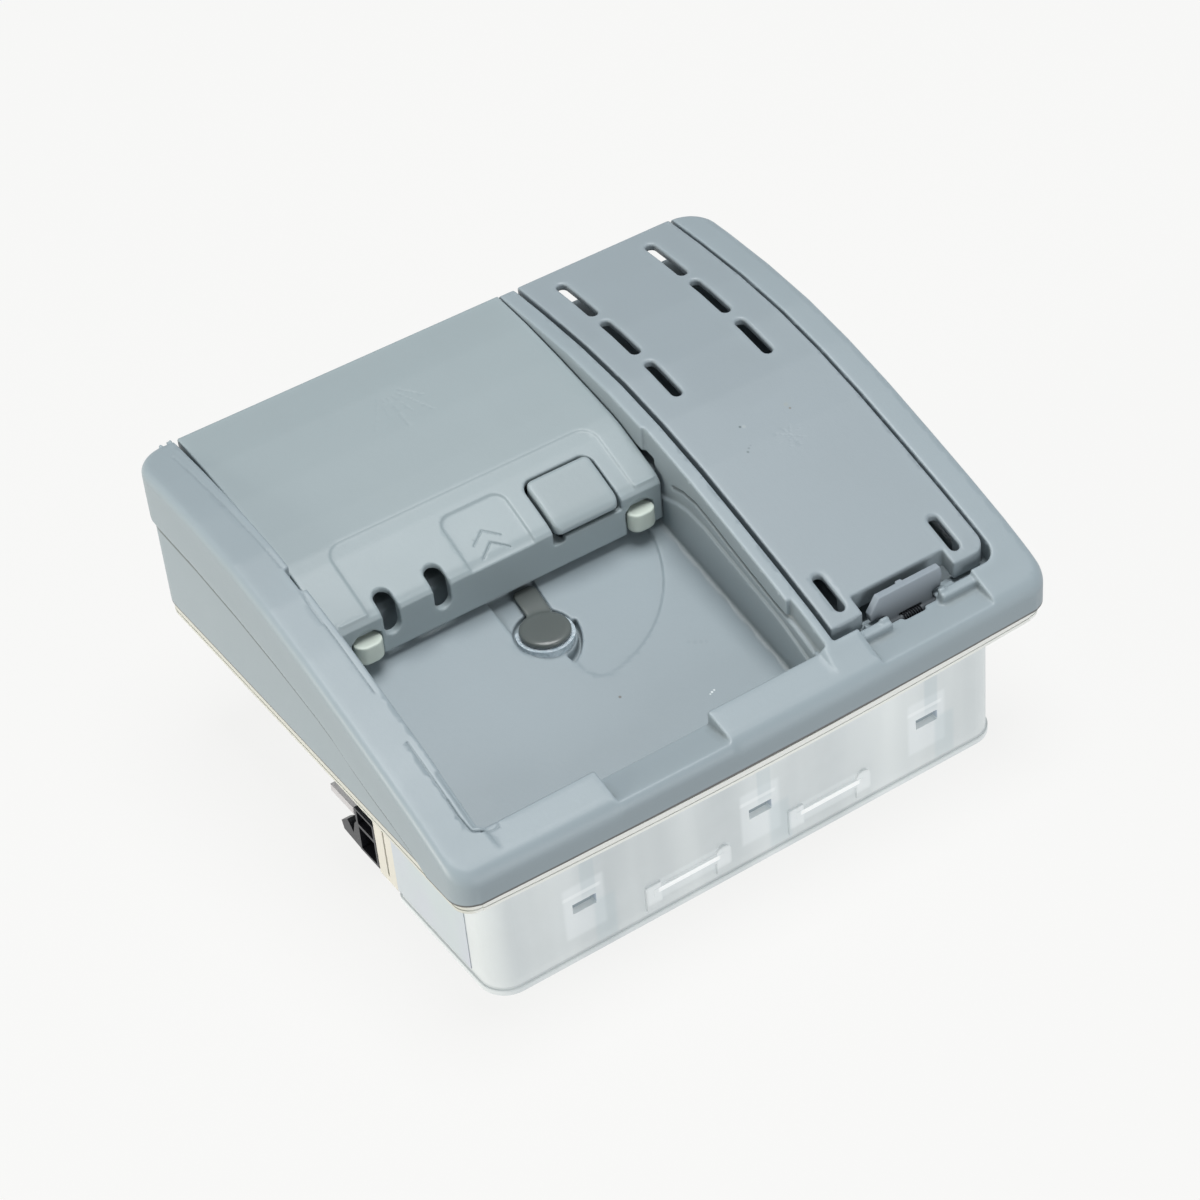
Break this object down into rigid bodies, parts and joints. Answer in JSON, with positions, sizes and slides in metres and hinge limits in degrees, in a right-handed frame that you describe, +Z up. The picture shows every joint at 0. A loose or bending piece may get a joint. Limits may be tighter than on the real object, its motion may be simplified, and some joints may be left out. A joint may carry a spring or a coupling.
{
  "type": "dishwasher detergent dispenser",
  "caption": "Wedge-shaped dispenser that doses dishwasher detergent and rinse aid: sliding lid, hinged flap, lever, gasket and clear rear housing.",
  "frame": {"origin": "centre of the bounding box's bottom face, on the clear housing's flat base", "axes": "+X to the rinse-aid side, +Y to the thick back edge, +Z up out of the flange"},
  "size_m": [0.172, 0.1483, 0.0844],
  "materials": {
    "frame_grey": "fine spark-eroded blue-grey moulding",
    "lid_grey": "fine spark-eroded blue-grey moulding",
    "gasket_cream": "soft cream rubber",
    "clear_plastic": "milky translucent moulding",
    "stop_white": "pale greenish white, satin",
    "spring_steel": "plain steel",
    "seal_dark": "dark rubber",
    "seal_clear": "clear silicone, slightly wet look",
    "lever_dark": "dark warm grey, satin",
    "natural_plastic": "uncoloured plastic",
    "actuator_beige": "beige plastic",
    "connector_black": "black plastic",
    "contact_brass": "plain brass",
    "label_pale": "bare pale label",
    "piston_blue": "blue plastic",
    "float_red": "red plastic"
  },
  "bodies": {
    "base": {"front_frame": "frame_grey", "flange_gasket": "gasket_cream", "rear_housing": "clear_plastic", "lever_seal": "seal_clear", "lever_return_spring": "spring_steel", "latch_spring": "spring_steel", "actuator_body": "actuator_beige", "connector_housing": "connector_black", "contact_blades": "contact_brass", "side_label": "label_pale", "rinse_tank": "natural_plastic"},
    "lid": {"sliding_lid": "lid_grey", "lid_buffer_left": "stop_white", "lid_buffer_right": "stop_white", "button_spring": "spring_steel", "lid_spring": "spring_steel"},
    "button": {"release_button": "lid_grey"},
    "flap": {"rinse_lid": "frame_grey", "rinse_lid_seal": "seal_dark"},
    "latch": {"rinse_lid_latch": "frame_grey"},
    "lever": {"release_lever": "lever_dark", "drive_crank": "natural_plastic"},
    "plunger": {"actuator_plunger": "spring_steel"},
    "dosing": {"dosing_piston": "piston_blue", "dosing_seal": "seal_dark"},
    "float": {"float": "float_red"}
  },
  "joints": [
    {"name": "lid_travel", "type": "hinge", "parent": "base", "child": "lid", "pos_m": [-0.026, 0.10135, -0.57], "axis": [1, 0, 0], "range_deg": [0, 5.52], "stiffness_Nm_per_rad": 2, "springref_deg": -2.86, "deforming": ["lid_spring"]},
    {"name": "button_press", "type": "slide", "parent": "lid", "child": "button", "axis": [0, 0, -1], "range_m": [0, 0.0012], "stiffness_N_per_m": 800, "springref_m": -0.001, "deforming": ["button_spring"]},
    {"name": "flap_hinge", "type": "hinge", "parent": "base", "child": "flap", "pos_m": [0.052, 0.06955, 0.0784], "axis": [-1, 0, 0], "range_deg": [0, 95]},
    {"name": "latch_tilt", "type": "hinge", "parent": "base", "child": "latch", "pos_m": [0.051, -0.06125, 0.0497], "axis": [1, 0, 0], "range_deg": [0, 18], "stiffness_Nm_per_rad": 0.05, "springref_deg": -11.46},
    {"name": "lever_swing", "type": "hinge", "parent": "base", "child": "lever", "pos_m": [-0.0221, -0.01125, 0.04977], "axis": [0, 0, 1], "range_deg": [0, 25]},
    {"name": "plunger_push", "type": "slide", "parent": "base", "child": "plunger", "axis": [1, 0, 0], "range_m": [0, 0.0039], "stiffness_N_per_m": 200, "springref_m": -0.002},
    {"name": "dosing_stroke", "type": "slide", "parent": "base", "child": "dosing", "axis": [-1, 0, 0], "range_m": [0, 0.0039]},
    {"name": "float_rise", "type": "slide", "parent": "base", "child": "float", "axis": [0, 0, 1], "range_m": [0, 0.02]}
  ],
  "couplings": [
    {"joint": "lever_swing", "follows": "plunger_push", "rad_per_m": 112},
    {"joint": "dosing_stroke", "follows": "plunger_push", "ratio": 1}
  ]
}
